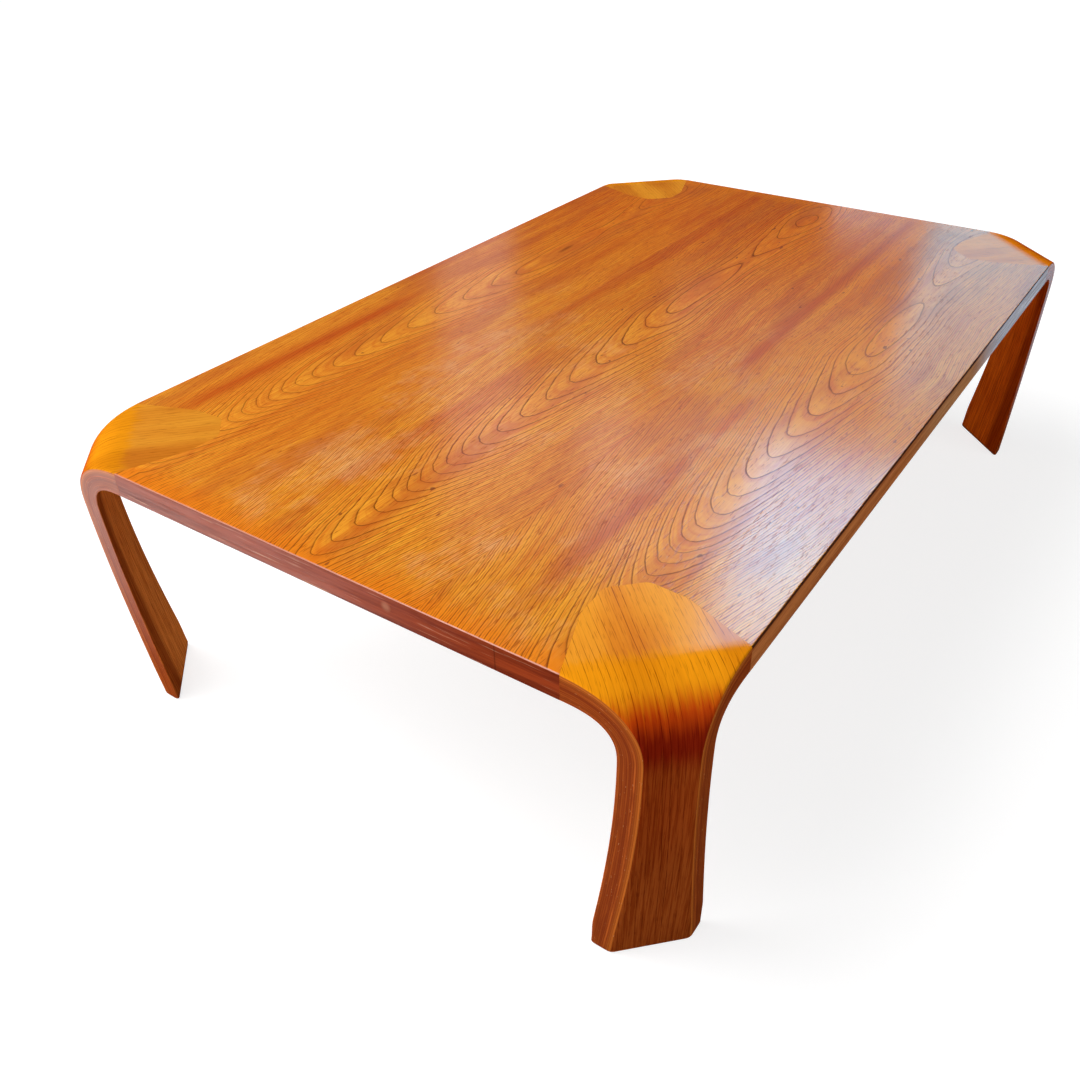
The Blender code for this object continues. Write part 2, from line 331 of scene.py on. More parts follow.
# Rings are levels of a hill: n = rings along the middle line + (root(y*y + d*d) - d) / pitch, y being the
# distance from that line and d the bluntness. A line is drawn where n is whole, and its width comes from
# the hill's slope there.
def crownVeneer(name, leaf):
    material, tree, shader = startWood(name, 0.0)
    lacquer(shader, crown["coat"], crown["gloss"])
    place = objectPlace(tree)
    x, y, z = split(tree, place)
    seed = leaf["seed"]

    drift = split(tree, streaks(tree, place, (2.6, 7.0, 1.0), 2.0, seed, output="Color"))
    wobble = split(tree, streaks(tree, place, (24.0, 70.0, 1.0), 2.0, seed + 5.0, output="Color"))
    alongX = calc(tree, "MULTIPLY_ADD", drift[0], 0.024, calc(tree, "ADD", x, leaf["slip"] - 0.017))
    alongX = calc(tree, "MULTIPLY_ADD", wobble[0], 0.010, alongX)
    acrossY = calc(tree, "MULTIPLY_ADD", drift[1], 0.020, calc(tree, "SUBTRACT", y, leaf["axis"] + 0.0112))
    acrossY = calc(tree, "MULTIPLY_ADD", wobble[1], 0.0024, acrossY)
    aside = calc(tree, "ABSOLUTE", acrossY)

    blunt = span(tree, alongX, -0.6, 0.05, crown["bluntLeft"], crown["bluntRight"])
    fromEye = calc(tree, "ABSOLUTE", calc(tree, "SUBTRACT", alongX, crown["eye"][0]))
    blunt = calc(tree, "SUBTRACT", blunt, fade(tree, fromEye, 0.16, 0.04, crown["eye"][1]))
    squares = calc(tree, "MULTIPLY_ADD", acrossY, acrossY, times(tree, blunt, blunt))
    hill = calc(tree, "SQRT", squares)
    rise = calc(tree, "DIVIDE", calc(tree, "SUBTRACT", hill, blunt), crown["ringPitch"])
    rings = calc(tree, "ADD", calc(tree, "ADD", ringsAlong(tree, alongX), rise), leaf["slice"])
    steep = calc(tree, "DIVIDE", calc(tree, "DIVIDE", acrossY, hill), crown["ringPitch"])
    slope = calc(tree, "SQRT", calc(tree, "MULTIPLY_ADD", steep, steep, crown["tipSlope"] ** 2))

    past = calc(tree, "FRACT", rings)
    width = span(tree, aside, 0.008, 0.045, crown["tipWidth"], crown["flankWidth"])
    outer = calc(tree, "DIVIDE", past, slope)
    inner = calc(tree, "DIVIDE", calc(tree, "SUBTRACT", 1.0, past), slope)
    soft = fade(tree, calc(tree, "DIVIDE", outer, width), 1.0, 0.0)
    sharp = fade(tree, calc(tree, "DIVIDE", inner, width), 0.4, 0.0)
    smudge = times(tree, fade(tree, outer, 0.011, 0.0), fade(tree, aside, 0.035, 0.005, 0.30))
    ringKey = randomOf(tree, calc(tree, "ROUND", rings))
    broken = streaks(tree, place, (60.0, 420.0, 1.0), 2.0, seed + 9.0)
    strength = span(tree, ringKey, 0.0, 1.0, 0.80, 1.0)
    strength = times(tree, strength, span(tree, broken, 0.38, 0.58, 0.75, 1.0))
    strength = times(tree, strength, span(tree, aside, 0.030, 0.080, 1.0, 0.60))
    strength = times(tree, strength, span(tree, x, -0.20, 0.35, *leaf["bold"]))
    drawn = times(tree, calc(tree, "MAXIMUM", soft, sharp), strength)

    twice = times(tree, rings, 2.0)
    off = calc(tree, "ABSOLUTE", calc(tree, "SUBTRACT", twice, calc(tree, "ROUND", twice)))
    off = calc(tree, "DIVIDE", calc(tree, "DIVIDE", off, slope), 2.0 * crown["hairWidth"])
    hairKey = randomOf(tree, calc(tree, "ROUND", twice))
    hair = times(tree, fade(tree, off, 1.0, 0.15), fade(tree, aside, 0.014, 0.034, 0.90))
    hair = times(tree, hair, span(tree, hairKey, 0.0, 1.0, 0.25, 1.0))
    hair = times(tree, hair, span(tree, broken, 0.36, 0.58, 0.35, 1.0))
    hair = times(tree, hair, span(tree, x, -0.15, 0.30, *leaf["bold"]))
    between = join(tree, times(tree, alongX, 7.0), times(tree, rings, 2.4), seed)
    fine = streaks(tree, between, (1.0, 1.0, 1.0), 3.0, 0.0, 0.6)

    cloud = streaks(tree, place, (1.5, 10.0, 1.0), 3.0, seed + 2.0)
    band = streaks(tree, place, (1.2, 34.0, 1.0), 2.0, seed + 4.0)
    strand = streaks(tree, place, (16.0, 640.0, 1.0), 3.0, seed + 8.0, 0.6)
    fibre = streaks(tree, place, (30.0, 1000.0, 1.0), 2.0, seed + 6.0)
    dash = pores(tree, place, (75.0, 800.0, 1.0), seed + 7.0, 0.60, 0.72)
    colour = tint(tree, fade(tree, cloud, 0.36, 0.64), crown["gold"], crown["amber"])
    colour = tint(tree, fade(tree, aside, 0.045, 0.0, 0.5), colour, crown["gold"])
    colour = tint(tree, fade(tree, x, -0.36, -0.56, 0.7), colour, crown["near"])
    colour = tint(tree, fade(tree, x, -0.15, 0.55, 0.75), colour, crown["far"])
    for middle, half, begin, end, share in crown["streaks"]:
        off = calc(tree, "ABSOLUTE", calc(tree, "SUBTRACT", acrossY, middle))
        lengthwise = fade(tree, alongX, begin, begin + 0.10)
        lengthwise = times(tree, lengthwise, fade(tree, alongX, end, end - 0.10))
        stain = times(tree, fade(tree, off, half * 1.6, 0.0, share), lengthwise)
        stain = times(tree, stain, span(tree, band, 0.3, 0.6, 0.35, 1.0))
        colour = tint(tree, stain, colour, crown["russet"])
    colour = tint(tree, fade(tree, band, 0.56, 0.76, 0.40), colour, crown["russet"])
    colour = tint(tree, fade(tree, fine, 0.44, 0.68, 0.38), colour, crown["thread"])
    redder = span(tree, x, -0.10, 0.40, *leaf["red"])
    threads = times(tree, span(tree, strand, 0.36, 0.68, 0.0, 0.46), redder)
    colour = tint(tree, threads, colour, crown["thread"])
    threads = times(tree, span(tree, fibre, 0.25, 0.75, 0.0, 0.36), redder)
    colour = tint(tree, threads, colour, crown["thread"])
    # a pale worn patch towards the left end, partly a painted haze of reflected window light
    worn = streaks(tree, place, (6.0, 8.0, 1.0), 5.0, crown["wornHazeSeed"], 0.68)
    worn = times(tree, fade(tree, worn, 0.50, 0.70, 0.50), fade(tree, x, 0.25, -0.35))
    worn = times(tree, worn, span(tree, strand, 0.36, 0.60, 1.25, 0.55))
    worn = times(tree, worn, fade(tree, y, crown["wornHazeTo"][1], crown["wornHazeTo"][0]))
    colour = tint(tree, worn, colour, crown["worn"])
    blotch = streaks(tree, place, (5.0, 22.0, 1.0), 4.0, seed + 12.0, 0.55)
    colour = tint(tree, fade(tree, blotch, 0.48, 0.66, 0.50), colour, crown["blotch"])
    sideways = calc(tree, "MULTIPLY_ADD", cloud, 0.05, calc(tree, "ABSOLUTE", x))
    before, past, strong = crown["edgeBand"]
    sideways = fade(tree, sideways, table["halfLength"] - before, table["halfLength"] + past, strong)
    colour = tint(tree, sideways, colour, crown["edge"])
    speck = streaks(tree, place, (60.0, 110.0, 1.0), 1.0, seed + 15.0)
    colour = tint(tree, fade(tree, speck, 0.76, 0.80, 0.7), colour, crown["speck"])
    colour = tint(tree, smudge, colour, crown["russet"])
    colour = tint(tree, hair, colour, crown["hair"])
    colour = tint(tree, times(tree, drawn, 0.95), colour, crown["line"])
    porous = times(tree, dash, calc(tree, "MULTIPLY_ADD", drawn, 0.3, 0.58))
    colour = tint(tree, porous, colour, crown["pore"])
    # the veneer's own edge is dark: a dark edge line, deepened with painted shade where the top meets the
    # lipping
    shallow, deep = (table["height"] - depth for depth in crown["cutDepth"])
    cutEdgeAndShade = fade(tree, z, shallow, deep, 0.95)
    # painted highlight: at the table's two ends the veneer's edge turns pale
    begin, end = (table["halfLength"] - inside for inside in crown["endZone"])
    atEnd = fade(tree, calc(tree, "ABSOLUTE", x), begin, end)
    colour = tint(tree, cutEdgeAndShade, colour, tint(tree, atEnd, crown["cut"], crown["endHighlight"]))
    tree.links.new(colour, shader.inputs["Base Color"])

    # lacquer sinks into open grain
    openGrain = calc(tree, "MAXIMUM", calc(tree, "MAXIMUM", drawn, hair), porous)
    tree.links.new(span(tree, openGrain, 0.05, 0.75, 1.0, 0.55), shader.inputs["Coat Weight"])
    tree.links.new(span(tree, fine, 0.3, 0.7, 0.30, 0.42), shader.inputs["Roughness"])
    relief = calc(tree, "SUBTRACT", times(tree, strand, 0.5), calc(tree, "ADD", porous, fine))
    raiseGrain(tree, shader, relief, 0.16, 0.0003, True)
    return material


# Straight-grained veneer on the legs

legLook = {
    "linePitch": 0.0058,
    "lean": 0.03,  # how far the grain slants across for each metre along
    "coat": 1.45,
    "gloss": 0.14,
    "coatEnds": (0.016, -0.003),  # the lacquer fades away between these places along the outer face
    "jagged": 0.030,  # how far the streaks run ahead of the deeper colour, or lag behind
    "gold": (0.840, 0.335, 0.020),
    "amber": (0.760, 0.250, 0.012),
    # the sun-faded top gives way to a deeper colour, whose darkest step just below the bend is painted shade,
    # as (from, to) along the outer face and the new tone
    "deepensWithShade": [(-0.003, 0.005, (0.820, 0.300, 0.006)), (0.034, 0.062, (0.540, 0.062, 0.004)),
                (0.056, 0.080, (0.240, 0.015, 0.003)), (0.086, 0.118, (0.350, 0.063, 0.009)),
                (0.150, 0.260, (0.342, 0.071, 0.011))],
    "heart": (0.420, 0.260, 0.200),  # multiplies, for a darker strip along one edge of an inner face
    "shade": (0.620, 0.420, 0.300),  # multiplies, for clouds and fibres, and for painted shade towards the outer face's edges below the bend
    "line": (0.360, 0.150, 0.060),  # multiplies, for lines and pores
}


# Lines are drawn where across / pitch + a slow drift is whole, and run along the leg's outer face
def legVeneer(name, seed, faded, wear):
    material, tree, shader = startWood(name, 0.0)
    place = grainPlace(tree)
    across, along, depth = split(tree, place)
    drift = streaks(tree, place, (14.0, 3.0, 0.0), 2.0, seed)
    offset = calc(tree, "MULTIPLY_ADD", along, legLook["lean"], across)
    offset = calc(tree, "MULTIPLY_ADD", drift, 0.016, offset)
    count = calc(tree, "DIVIDE", offset, legLook["linePitch"])
    past = calc(tree, "FRACT", count)
    drawn = calc(tree, "MAXIMUM", fade(tree, past, 0.10, 0.0), fade(tree, past, 0.92, 1.0))
    lineKey = randomOf(tree, calc(tree, "ROUND", count))
    broken = streaks(tree, place, (130.0, 50.0, 0.0), 2.0, seed + 3.0)
    drawn = times(tree, drawn, span(tree, broken, 0.38, 0.58, 0.20, 0.85))
    drawn = times(tree, drawn, span(tree, lineKey, 0.0, 1.0, 0.3, 1.0))
    drawn = times(tree, drawn, span(tree, along, 0.0, 0.05, wear["lines"], 1.3))

    cloud = streaks(tree, place, (22.0, 4.0, 0.0), 3.0, seed + 1.0)
    fibre = streaks(tree, place, (850.0, 14.0, 0.0), 3.0, seed + 2.0, 0.6)
    dash = pores(tree, place, (900.0, 60.0, 0.0), seed + 4.0, 0.60, 0.72)
    if not faded:
        strip = fade(tree, times(tree, across, wear["heart"]), 0.016, 0.030, 0.85)
        colour = tint(tree, strip, wear["inner"], legLook["heart"], "MULTIPLY")
    else:
        colour = tint(tree, fade(tree, cloud, 0.35, 0.65), legLook["gold"], legLook["amber"])
        jag = streaks(tree, place, (300.0, 8.0, 0.0), 2.0, seed + 6.0)
        late = legLook["jagged"] / 2 + wear["lag"]
        reached = calc(tree, "SUBTRACT", along, late)
        reached = calc(tree, "MULTIPLY_ADD", jag, legLook["jagged"], reached)
        # the darkest step, just below the bend, is painted shade
        for begin, end, tone in legLook["deepensWithShade"]:
            deep = fade(tree, reached, begin, end)
            colour = tint(tree, deep, colour, tone)
        colour = tint(tree, 1.0, colour, wear["patch"], "MULTIPLY")
        lacquer(shader, legLook["coat"], legLook["gloss"])
        kept = fade(tree, along, *legLook["coatEnds"], wear["gloss"])
        tree.links.new(kept, shader.inputs["Coat Weight"])
        # painted shade: the outer face darkens towards both its edges below the bend
        rim = fade(tree, calc(tree, "ABSOLUTE", across), 0.026, 0.050)
        rim = times(tree, rim, fade(tree, along, 0.05, 0.12, 0.55))
        colour = tint(tree, rim, colour, legLook["shade"], "MULTIPLY")
    colour = tint(tree, fade(tree, cloud, 0.40, 0.70, 0.4), colour, legLook["shade"], "MULTIPLY")
    threads = times(tree, fade(tree, fibre, 0.41, 0.59), fade(tree, along, 0.02, 0.12, 0.85))
    threads = calc(tree, "MAXIMUM", threads, span(tree, fibre, 0.30, 0.70, 0.0, 0.30))
    colour = tint(tree, threads, colour, legLook["shade"], "MULTIPLY")
    colour = tint(tree, drawn, colour, legLook["line"], "MULTIPLY")
    porous = times(tree, dash, 0.4)
    colour = tint(tree, porous, colour, legLook["line"], "MULTIPLY")
    tree.links.new(colour, shader.inputs["Base Color"])
    gloss = calc(tree, "MULTIPLY_ADD", porous, 0.2, span(tree, cloud, 0.3, 0.7, 0.30, 0.36))
    tree.links.new(gloss, shader.inputs["Roughness"])
    relief = calc(tree, "SUBTRACT", times(tree, fibre, 0.5), calc(tree, "ADD", porous, drawn))
    raiseGrain(tree, shader, relief, 0.2, 0.0003)
    return material


# Edges of the legs' plies

plyLook = {
    "plies": 13.0,
    "coat": 1.58,
    "gloss": 0.22,
    "pale": (0.460, 0.096, 0.016),
    "dark": (0.225, 0.037, 0.008),
    "glue": (0.120, 0.019, 0.005),
    "rim": (0.600, 0.165, 0.022),  # a painted highlight next to the outer face, where the rounded arris catches the light
    "fleck": (0.800, 0.480, 0.220),
}


# Plies are the whole numbers of (share of the thickness) * plies, with a dark glue line between two
def plyEdges(name, seed, wear):
    material, tree, shader = startWood(name, 0.0)
    lacquer(shader, plyLook["coat"], plyLook["gloss"])
    place = grainPlace(tree)
    across, along, share = split(tree, place)
    sway = streaks(tree, place, (8.0, 12.0, 2.0), 2.0, seed)
    count = calc(tree, "MULTIPLY_ADD", sway, 0.5, times(tree, share, plyLook["plies"]))
    past = calc(tree, "FRACT", count)
    plyKey = randomOf(tree, calc(tree, "FLOOR", count))
    fibre = streaks(tree, place, (2.0, 26.0, 32.0), 4.0, seed + 2.0, 0.6)
    kept = fade(tree, along, 0.36, 0.06, wear["polish"])
    kept = times(tree, kept, span(tree, fibre, 0.34, 0.66, 1.15, 0.55))
    tree.links.new(kept, shader.inputs["Coat Weight"])
    cloud = streaks(tree, place, (4.0, 14.0, 4.0), 3.0, seed + 4.0)
    tone = calc(tree, "MULTIPLY_ADD", cloud, 0.4, times(tree, plyKey, 0.6))
    colour = tint(tree, fade(tree, tone, 0.2, 0.8), plyLook["pale"], plyLook["dark"])
    colour = tint(tree, fade(tree, fibre, 0.42, 0.62, 0.8), colour, plyLook["dark"])
    # painted highlight: lighter towards the outer face
    colour = tint(tree, fade(tree, share, 0.34, 0.04, 0.6), colour, plyLook["rim"])
    glued = calc(tree, "MAXIMUM", fade(tree, past, 0.20, 0.04, 0.7), fade(tree, past, 0.94, 1.0, 0.7))
    colour = tint(tree, glued, colour, plyLook["glue"])
    fleck = streaks(tree, place, (2.0, 160.0, 40.0), 3.0, seed + 6.0)
    colour = tint(tree, fade(tree, fleck, 0.68, 0.76, 0.5), colour, plyLook["fleck"])
    tree.links.new(colour, shader.inputs["Base Color"])
    tree.links.new(span(tree, fibre, 0.2, 0.8, 0.30, 0.44), shader.inputs["Roughness"])
    relief = calc(tree, "SUBTRACT", times(tree, fibre, 0.6), glued)
    raiseGrain(tree, shader, relief, 0.2, 0.0003)
    return material


# Straight-grained strips and sheets: lippings, underside, core and tongues

plainWoods = {
    "backing": {"pale": (0.420, 0.150, 0.045), "dark": (0.270, 0.080, 0.022), "gloss": (0.46, 0.60),
                "shine": 0.25},
    "plywood": {"pale": (0.560, 0.390, 0.220), "dark": (0.400, 0.260, 0.140), "gloss": (0.65, 0.80),
                "shine": 0.25},
    "tongue": {"pale": (0.600, 0.430, 0.250), "dark": (0.460, 0.310, 0.170), "gloss": (0.60, 0.75),
               "shine": 0.25},
}


# Two noises stretched along the grain, a slow one for bands and a fine one for fibres, mix two tones
def plainWood(name, look, along, seed):
    material, tree, shader = startWood(name, look["shine"])
    place = objectPlace(tree)
    x, y, z = split(tree, place)
    lengthwise = x
    if along == "y":
        place = join(tree, y, x, z)
        lengthwise = y
    if "polish" in look:  # lacquer kept from one place along the strip to another
        begin, end, weight = look["polish"]
        kept = fade(tree, lengthwise, begin, end, weight)
        lacquer(shader, look["coat"], look["coatGloss"])
    band = streaks(tree, place, (3.0, 60.0, 120.0), 3.0, seed)
    fibre = streaks(tree, place, (16.0, 420.0, 420.0), 4.0, seed + 2.0, 0.6)
    if "polish" in look:
        streaky = times(tree, kept, span(tree, fibre, 0.34, 0.66, 1.15, 0.60))
        tree.links.new(streaky, shader.inputs["Coat Weight"])
    dash = pores(tree, place, (50.0, 1100.0, 1100.0), seed + 4.0)
    tone = calc(tree, "MULTIPLY_ADD", fibre, 0.5, times(tree, band, 0.7))
    colour = tint(tree, fade(tree, tone, 0.42, 0.78), look["pale"], look["dark"])
    colour = tint(tree, times(tree, dash, 0.35), colour, look["dark"], "MULTIPLY")
    if "under" in look:  # a duller tone below the kept lacquer
        colour = tint(tree, kept, colour, look["under"])
    if "scuff" in look:
        scuff = streaks(tree, place, (14.0, 300.0, 300.0), 4.0, seed + 6.0, 0.6)
        colour = tint(tree, fade(tree, scuff, 0.56, 0.72, 0.40), colour, look["scuff"])
    if "joint" in look:  # where two lengths of the strip meet
        off = calc(tree, "ABSOLUTE", calc(tree, "SUBTRACT", lengthwise, look["joint"]))
        colour = tint(tree, fade(tree, off, 0.0009, 0.0003, 0.5), colour, look["gap"])
    if "warm" in look:  # a redder length
        begin, end, tone = look["warm"]
        colour = tint(tree, fade(tree, lengthwise, begin, end), colour, tone, "MULTIPLY")
    if "grime" in look:  # painted shade along the joint below the top's face
        top = table["height"] - look["grime"]
        colour = tint(tree, fade(tree, z, top - 0.0008, top + 0.0004, 0.9), colour, look["gap"])
    if "spot" in look:  # a filled dent
        beside, under, radius = look["spot"]
        apart = calc(tree, "SUBTRACT", lengthwise, beside)
        upright = calc(tree, "SUBTRACT", z, table["height"] - under)
        squares = calc(tree, "MULTIPLY_ADD", apart, apart, times(tree, upright, upright))
        far = calc(tree, "SQRT", squares)
        colour = tint(tree, fade(tree, far, radius, radius * 0.2, 0.22), colour, look["scuff"])
    tree.links.new(colour, shader.inputs["Base Color"])
    tree.links.new(span(tree, fibre, 0.25, 0.75, *look["gloss"]), shader.inputs["Roughness"])
    relief = calc(tree, "SUBTRACT", times(tree, fibre, 0.5), dash)
    raiseGrain(tree, shader, relief, 0.2, 0.0003)
    return material


# Legs

leg = {
    "thickness": 0.0185,
    "bendStart": 0.0898,  # from the plan's corner to where the top begins to bend
    "bendLength": 0.1117,  # along the outer face
    "bendTurn": math.radians(91.6),
    "footTurn": math.radians(97.6),
    "sideDraft": 0.0073,  # how far the side cuts draw in at the floor
    "footRound": 0.0040,  # easing round the foot's underside
    "footArris": (0.0035, 0.0055),  # the outer and inner arrises swell to these radii at the foot
    "footRise": 0.040,  # and begin to swell this far above the floor
    "veneerStop": 0.0045,  # the veneers end this far above the floor
    "walkStep": 0.0002,
}

tongue = {
    "reach": 0.175,
    "endHalf": 0.020,
    "shoulder": (0.146, 0.046),
    "taper": 0.455,
    "round": 0.012,
}
# the flange's half-width if its slanting sides ran on to the plan's corner
tongueFoot = tongue["shoulder"][1] + tongue["shoulder"][0] * tongue["taper"]


# An arc that rounds the corner of an outline, starting the same distance before and after it
def cornerArc(before, corner, after, radius, steps=10):
    before, corner, after = (np.array(point) for point in (before, corner, after))
    toBefore = (before - corner) / np.linalg.norm(before - corner)
    toAfter = (after - corner) / np.linalg.norm(after - corner)
    halfAngle = math.acos(float(toBefore @ toAfter)) / 2
    middle = (toBefore + toAfter) / np.linalg.norm(toBefore + toAfter)
    centre = corner + middle * radius / math.sin(halfAngle)
    first = corner + toBefore * radius / math.tan(halfAngle) - centre
    last = corner + toAfter * radius / math.tan(halfAngle) - centre
    share = np.linspace(0.0, 1.0, steps + 1)[:, None]
    arms = first * (1.0 - share) + last * share
    return centre + arms / np.linalg.norm(arms, axis=1, keepdims=True) * radius


# Half of the flange's plan, as (inward, across) the corner's diagonal, from near the table's side to its end
def tongueHalf():
    near = (0.050, tongueFoot - 0.050 * tongue["taper"])
    end = (tongue["reach"], tongue["endHalf"])
    shoulderArc = cornerArc(near, tongue["shoulder"], end, tongue["round"])
    endArc = cornerArc(tongue["shoulder"], end, (tongue["reach"], 0.0), tongue["round"])
    return np.concatenate([[near], shoulderArc, endArc])


# The outer face: its slope eases from level through the bend, then on to the foot, and the place along it is
# the running sum of the slope's cosine inwards and of its sine downwards
def outerFace():
    start = leg["bendStart"] - tongue["reach"]
    along = np.arange(start, leg["bendLength"] + table["height"], leg["walkStep"])
    legLength = table["height"] - leg["bendLength"] / 2
    share = np.clip((along - leg["bendLength"]) / legLength, 0.0, 1.0)
    turn = leg["bendTurn"] * easeShare(along / leg["bendLength"])
    turn = turn + (leg["footTurn"] - leg["bendTurn"]) * share * (2.0 - share)
    halfStep = (turn[1:] + turn[:-1]) / 2
    inward = tongue["reach"] - np.concatenate([[0.0], np.cumsum(np.cos(halfStep))]) * leg["walkStep"]
    up = table["height"] - np.concatenate([[0.0], np.cumsum(np.sin(halfStep))]) * leg["walkStep"]
    return along, inward, up, turn


def cornerAxes(signs):
    inward = Vector((-signs[0], -signs[1], 0.0)).normalized()
    across = Vector((0.0, 0.0, 1.0)).cross(inward)
    origin = Vector((signs[0] * table["halfLength"], signs[1] * table["halfWidth"], 0.0))
    return np.array(origin), np.array(inward), np.array(across)


# One layer of a leg, between two depths: rings at stops along the outer face, each a loop over the outer
# side, down one edge, back over the inner side and up the other edge. A point is the outer face's point
# moved into the wood by its depth, and sideways by a share of the half-width there: the distance to the
# table's side plane, less the arris, or the flange's own half-width where that is less.
def legLayer(layer):
    along, inward, up, turn = outerFace()
    bendEnd = leg["bendLength"]
    floor = layer["floor"]

    faceShare = np.sin(np.linspace(-0.5, 0.5, 33) * math.pi)
    edgeShare = (1.0 - np.cos(np.linspace(0.0, math.pi, layer["edgeSteps"] + 1))) / 2
    sideways = np.concatenate([faceShare, np.ones(edgeShare.size), -faceShare, -np.ones(edgeShare.size)])
    inside = np.concatenate([0.0 * faceShare, edgeShare, 0.0 * faceShare + 1.0, edgeShare[::-1]])

    crossing = tongueFoot / (1.0 + tongue["taper"])  # where the flange's side meets the table's side
    flat = leg["bendStart"] - tongueHalf()[1:, 0]
    stops = [
        flat,
        np.linspace(along[0], 0.0, 24),
        leg["bendStart"] - np.linspace(crossing - 0.001, crossing + 0.004, 12),
        np.linspace(0.0, bendEnd, 64),
        np.linspace(bendEnd, bendEnd + 0.965, 48),
        bendEnd + 1.0 - (1.0 - np.sin(np.linspace(0.0, 0.5, 12) * math.pi)) * 0.032,
    ]
    stops = np.unique(np.round(np.concatenate(stops), 6))[:, None]
    stops = np.concatenate([stops[:1], stops[1:][np.diff(stops[:, 0]) > 0.00015]])
    stops[-1] = bendEnd + 1.0

    # below the bend a stop is a share of the way to the floor, which each depth reaches at its own place
    endDepth = inside * (layer["to"] - layer["from"]) + layer["from"]
    below = along > bendEnd
    heights = up[below][:, None] - endDepth * np.cos(turn[below])[:, None]
    reached = np.sum(heights > floor, axis=0) - 1
    onePoint = np.arange(endDepth.size)
    drop = heights[reached, onePoint] - heights[reached + 1, onePoint]
    toFloor = along[below][reached] + leg["walkStep"] * (heights[reached, onePoint] - floor) / drop
    walked = np.where(stops <= bendEnd, stops, bendEnd + (stops - bendEnd) * (toFloor - bendEnd))

    thinner = leg["thickness"] - table["topThickness"]
    thickness = table["topThickness"] + thinner * easeShare(walked / bendEnd)
    spare = thickness - leg["thickness"]
    depth = layer["from"] + inside * (layer["to"] - layer["from"])
    depth = depth + spare * (layer["fromInner"] + inside * (1.0 - layer["fromInner"]) * layer["grows"])
    faceTurn = np.interp(walked, along, turn)
    faceUp = np.interp(walked, along, up)
    above = faceUp - depth * np.cos(faceTurn)
    footInset = arrisInset(above, leg["footRound"])
    swell = easeShare(1.0 - above / leg["footRise"])
    outerArris = table["topArris"] + (leg["footArris"][0] - table["topArris"]) * swell
    innerArris = table["underArris"] + (leg["footArris"][1] - table["underArris"]) * swell
    depth = np.clip(depth, footInset, thickness - footInset)
    h = np.interp(walked, along, inward) + depth * np.sin(faceTurn)
    z = faceUp - depth * np.cos(faceTurn)
    draft = leg["sideDraft"] * np.clip((underside - z) / underside, 0.0, 1.0)
    least = table["underArris"] / 3
    eased = footInset + arrisInset(depth - footInset, np.maximum(outerArris - footInset, least))
    eased = eased + arrisInset(thickness - footInset - depth, np.maximum(innerArris - footInset, least))
    flange = tongueHalf()
    half = np.minimum(h - math.sqrt(2.0) * (draft + eased), np.interp(h, flange[:, 0], flange[:, 1]))
    across = sideways * half
    place = np.stack([across, walked + 0.0 * across, depth / thickness], axis=-1)
    return h, across, np.maximum(z, 0.0), place


skin = table["veneer"]
legLayers = {
    "Core": {"from": skin + table["glueLine"], "to": leg["thickness"] - skin - table["glueLine"],
             "edgeSteps": 14, "fromInner": 0.0, "grows": 1.0, "floor": 0.0,
             "node": "leg_core", "slot": "leg_laminate"},
    "Face": {"from": 0.0, "to": skin, "edgeSteps": 6, "fromInner": 0.0, "grows": 0.0,
             "floor": leg["veneerStop"], "node": "leg_face_veneer", "slot": "face_veneer"},
    "Inner": {"from": leg["thickness"] - skin, "to": leg["thickness"], "edgeSteps": 6, "fromInner": 1.0,
              "grows": 0.0, "floor": leg["veneerStop"], "node": "leg_inner_veneer", "slot": "inner_veneer"},
}


# how much lacquer each leg's sides keep, how much later its face deepens, its inner tone and on which side
# that has the darker strip; then what multiplies the tone of its corner patch, the patch's lacquer and how
# bold its lines are
legWear = {
    "front_left": {"polish": 0.0, "lag": 0.0, "inner": (0.860, 0.270, 0.050), "heart": -1.0,
                   "patch": (1.0, 1.0, 1.0), "gloss": 0.72, "lines": 1.35},
    "front_right": {"polish": 0.7, "lag": -0.020, "inner": (0.950, 0.170, 0.010), "heart": 1.0,
                    "patch": (1.0, 0.80, 1.0), "gloss": 0.8, "lines": 0.8},
    "back_right": {"polish": 0.4, "lag": 0.01, "inner": (0.950, 0.170, 0.010), "heart": -1.0,
                   "patch": (0.95, 0.95, 1.0), "gloss": 0.6, "lines": 0.8},
    "back_left": {"polish": 1.0, "lag": 0.006, "inner": (0.900, 0.290, 0.055), "heart": -1.0,
                  "patch": (0.82, 0.82, 1.0), "gloss": 1.0, "lines": 0.8},
}


def pieceName(kind, node):
    return kind + "".join(word.capitalize() for word in node.split("_"))


for layerName, layer in legLayers.items():
    h, across, z, place = legLayer(layer)
    faces = loftFaces(*h.shape)
    for number, (corner, signs) in enumerate(corners.items()):
        origin, inwardAxis, acrossAxis = cornerAxes(signs)
        points = origin + h[..., None] * inwardAxis + across[..., None] * acrossAxis
        points[..., 2] = z
        name = pieceName("leg" + layerName, corner)
        if layerName == "Core":
            material = plyEdges(name, 2.3 + number * 7.0, legWear[corner])
        else:
            material = legVeneer(name, 4.1 + number * 9.0, layerName == "Face", legWear[corner])
        addPiece(name, points.reshape(-1, 3), faces, material, f"{layer['node']}_{corner}",
                 place.reshape(-1, 3))
print("legs: 4 bent cores with their face and inner veneers")


# Leaves and lippings

